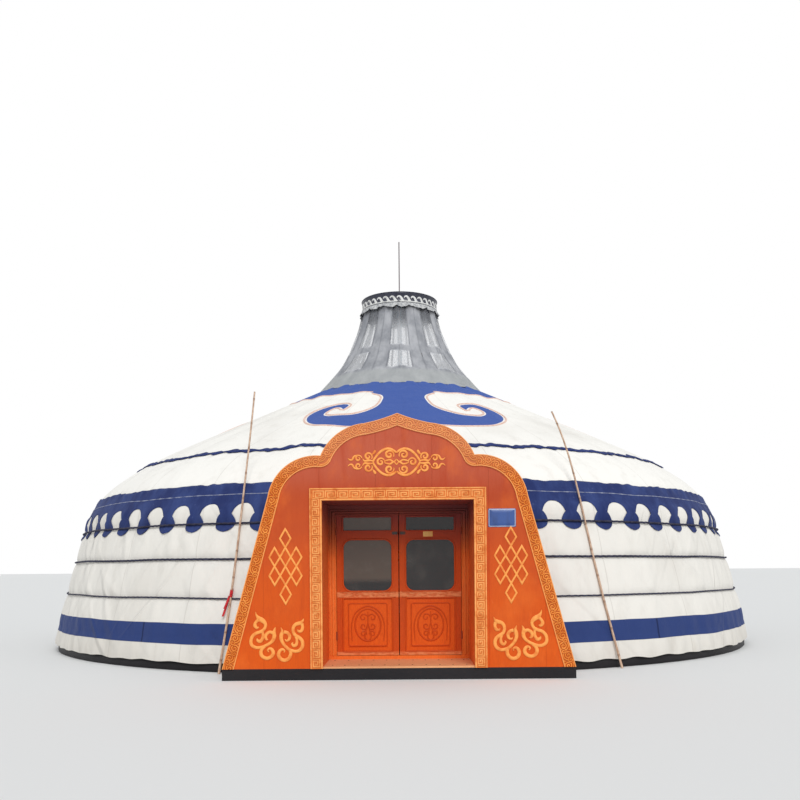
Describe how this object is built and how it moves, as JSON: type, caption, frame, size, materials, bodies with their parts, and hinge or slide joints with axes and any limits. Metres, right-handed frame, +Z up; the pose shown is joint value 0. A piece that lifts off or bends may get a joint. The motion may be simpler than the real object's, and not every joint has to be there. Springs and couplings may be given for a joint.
{
  "type": "yurt",
  "caption": "Large round felt yurt with a tall sheeted crown, blue lobed valance and a carved entrance board round a recessed pair of door leaves.",
  "frame": {"origin": "on the ground, at the middle of the round floor", "axes": "+Z up, the door faces -Y, +X to the right of someone who looks at the door"},
  "size_m": [11.216, 11.654, 6.935],
  "materials": {
    "cover_canvas": "white cotton canvas over felt",
    "painted_canvas": "white canvas with a sewn blue ornament",
    "valance_cloth": "blue canvas",
    "base_timber": "dark stained timber",
    "deck_boards": "worn painted boards",
    "frame_timber": "oiled softwood",
    "crown_steel": "grey painted steel",
    "mast_paint": "pale blue painted steel",
    "crown_netting": "grey translucent sheeting",
    "cap_band": "dark blue band with white scrolls",
    "cap_skirt_cloth": "pale grey cloth",
    "cap_sheet": "dark painted sheet",
    "finial_metal": "dull rod",
    "girth_rope": "dark twisted rope",
    "board_wood": "orange red stained board",
    "board_border": "carved and gilded moulding",
    "doorway_trim": "carved fret moulding",
    "passage_wood": "red brown stained wood",
    "frame_wood": "orange red stained wood",
    "leaf_wood": "orange red stained wood",
    "panel_wood": "orange red stained wood",
    "door_glass": "dark reflecting glass",
    "hardware": "painted iron",
    "bamboo": "dry cane"
  },
  "bodies": {
    "shelter": {"base_ring_left": "base_timber", "base_ring_right": "base_timber", "board_framing": "frame_timber", "cap_lid": "cap_sheet", "cap_ring": "cap_band", "cap_skirt": "cap_skirt_cloth", "crown_base_ring": "frame_timber", "crown_cover": "crown_netting", "crown_cross": "frame_timber", "crown_hoops": "crown_steel", "crown_mast": "mast_paint", "crown_ribs": "crown_steel", "door_frame": "frame_wood", "doorway_trim": "doorway_trim", "entry_board_border": "board_border", "entry_board_left": "board_wood", "entry_board_right": "board_wood", "entry_board_top": "board_wood", "finial": "finial_metal", "floor_deck": "deck_boards", "floor_joists": "frame_timber", "girth_ropes": "girth_rope", "jamb_hinges": "hardware", "lattice_left": "frame_timber", "lattice_right": "frame_timber", "leaning_poles": "bamboo", "passage_cheeks": "passage_wood", "passage_lid": "passage_wood", "porch_base": "base_timber", "porch_floor": "deck_boards", "roof_cover_lower_back_left": "cover_canvas", "roof_cover_lower_back_right": "cover_canvas", "roof_cover_lower_front_left": "cover_canvas", "roof_cover_lower_front_right": "cover_canvas", "roof_cover_upper_left": "painted_canvas", "roof_cover_upper_right": "painted_canvas", "roof_poles": "frame_timber", "valance_left": "valance_cloth", "valance_right": "valance_cloth", "wall_cover_back_left": "cover_canvas", "wall_cover_back_right": "cover_canvas", "wall_cover_front_left": "cover_canvas", "wall_cover_front_right": "cover_canvas"},
    "left_leaf": {"left_leaf_frame": "leaf_wood", "left_leaf_glass": "door_glass", "left_leaf_hinges": "hardware", "left_leaf_panel": "panel_wood", "left_leaf_staple": "hardware"},
    "right_leaf": {"right_leaf_frame": "leaf_wood", "right_leaf_glass": "door_glass", "right_leaf_hinges": "hardware", "right_leaf_panel": "panel_wood", "right_leaf_staple": "hardware"}
  },
  "joints": [
    {"name": "left_leaf_swing", "type": "hinge", "parent": "shelter", "child": "left_leaf", "pos_m": [-0.7295, -5.229, 1.02], "axis": [0, 0, -1], "range_deg": [0, 90]},
    {"name": "right_leaf_swing", "type": "hinge", "parent": "shelter", "child": "right_leaf", "pos_m": [0.7295, -5.229, 1.02], "axis": [0, 0, 1], "range_deg": [0, 90]}
  ]
}
